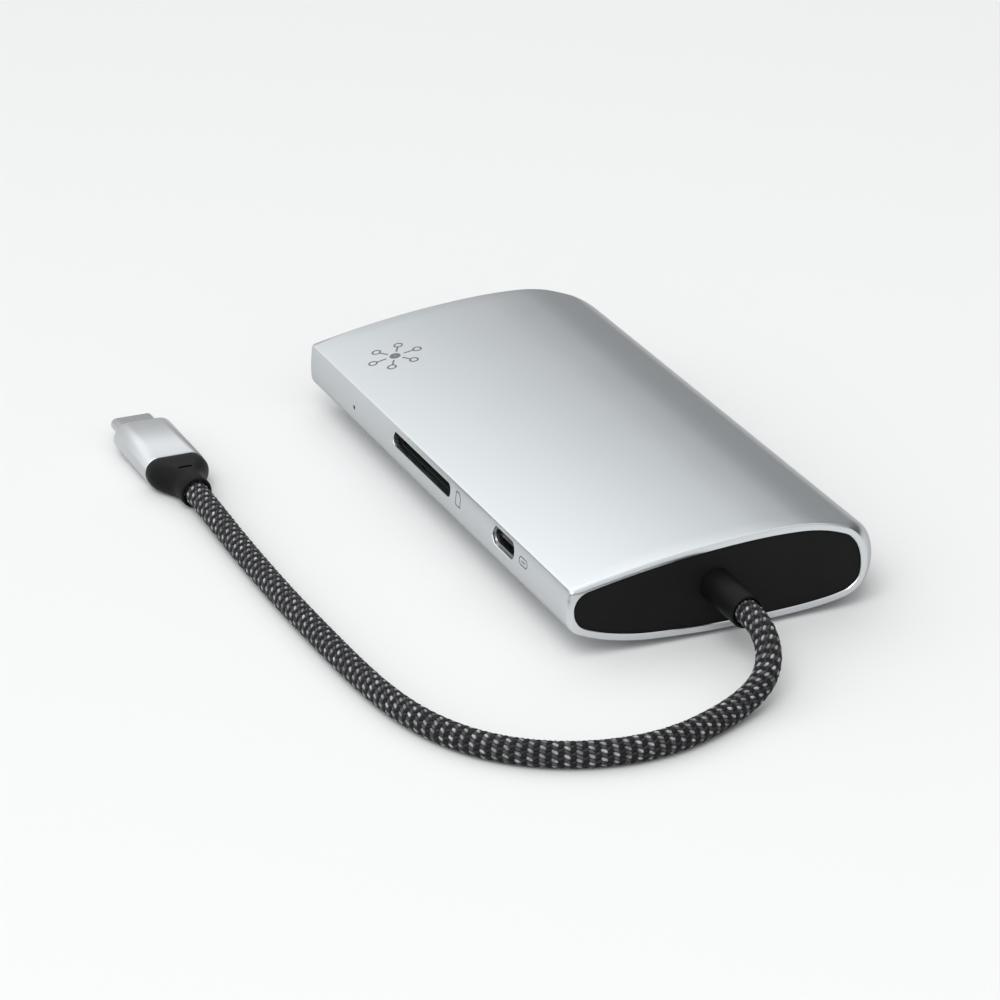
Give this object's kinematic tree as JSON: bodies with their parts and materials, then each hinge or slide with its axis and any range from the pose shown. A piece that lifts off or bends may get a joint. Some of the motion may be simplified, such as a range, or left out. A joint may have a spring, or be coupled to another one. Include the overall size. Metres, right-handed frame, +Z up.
{
  "type": "usb hub",
  "caption": "Slim desktop hub: a wing-shaped aluminium body with black end caps, sockets in its edges and a captive braided lead ending in a reversible plug.",
  "frame": {"origin": "on the surface that the hub stands on, under the middle of its body, with the lead and plug left out", "axes": "+X across the body from its thin edge to its round edge, +Y along the body away from the lead, +Z up"},
  "size_m": [0.0999, 0.1562, 0.0175],
  "materials": {
    "anodised_aluminium": "bead blasted and anodised, satin, with polished cut edges",
    "cap_plastic": "fine matt moulding",
    "foot_rubber": "matt",
    "carrier_plastic": "plain moulding",
    "screw_steel": "plain",
    "board_laminate": "solder mask",
    "socket_steel": "nickel plated",
    "socket_plastic": "moulded",
    "blue_plastic": "moulded",
    "contact_gold": "gold flash",
    "chip_epoxy": "moulded epoxy",
    "light_plastic": "moulded",
    "pad_silicone": "soft",
    "component_ceramic": "fired ceramic",
    "component_metal": "plain",
    "boot_rubber": "satin moulding",
    "wire_plastic": "insulation",
    "braid": "woven black and white yarn",
    "plug_aluminium": "anodised, satin",
    "plug_steel": "nickel plated, polished"
  },
  "bodies": {
    "root": {"shell": "anodised_aluminium", "front_cap": "cap_plastic", "rear_cap": "cap_plastic", "foot_pads": "foot_rubber", "board_carrier": "carrier_plastic", "carrier_screws": "screw_steel", "main_board": "board_laminate", "usb_c_data_shell": "socket_steel", "usb_c_data_tongue": "socket_plastic", "usb_c_power_shell": "socket_steel", "usb_c_power_tongue": "socket_plastic", "card_socket_base": "socket_plastic", "card_socket_cover": "socket_steel", "card_socket_contacts": "contact_gold", "usb_a_shell_1": "socket_steel", "usb_a_tongue_1": "blue_plastic", "usb_a_shell_2": "socket_steel", "usb_a_tongue_2": "blue_plastic", "usb_a_contacts": "contact_gold", "video_shell": "socket_steel", "video_tongue": "socket_plastic", "jack_shield": "socket_steel", "jack_housing": "socket_plastic", "jack_contacts": "contact_gold", "jack_transformer": "chip_epoxy", "status_led": "light_plastic", "light_pipe": "light_plastic", "hub_controller": "chip_epoxy", "video_converter": "chip_epoxy", "network_controller": "chip_epoxy", "power_controller": "chip_epoxy", "gap_pad": "pad_silicone", "inductors": "chip_epoxy", "capacitors": "component_ceramic", "crystals": "component_metal", "lead_boot": "boot_rubber", "lead_ferrule": "component_metal", "lead_inner_end": "wire_plastic", "lead_conductors": "wire_plastic", "lead_header": "light_plastic", "lead": "braid", "plug_grip": "plug_aluminium", "plug_boot": "boot_rubber", "plug_core": "socket_plastic", "plug_board": "board_laminate", "plug_shell": "plug_steel", "plug_insulator": "socket_plastic", "plug_contacts": "contact_gold"}
  },
  "joints": []
}
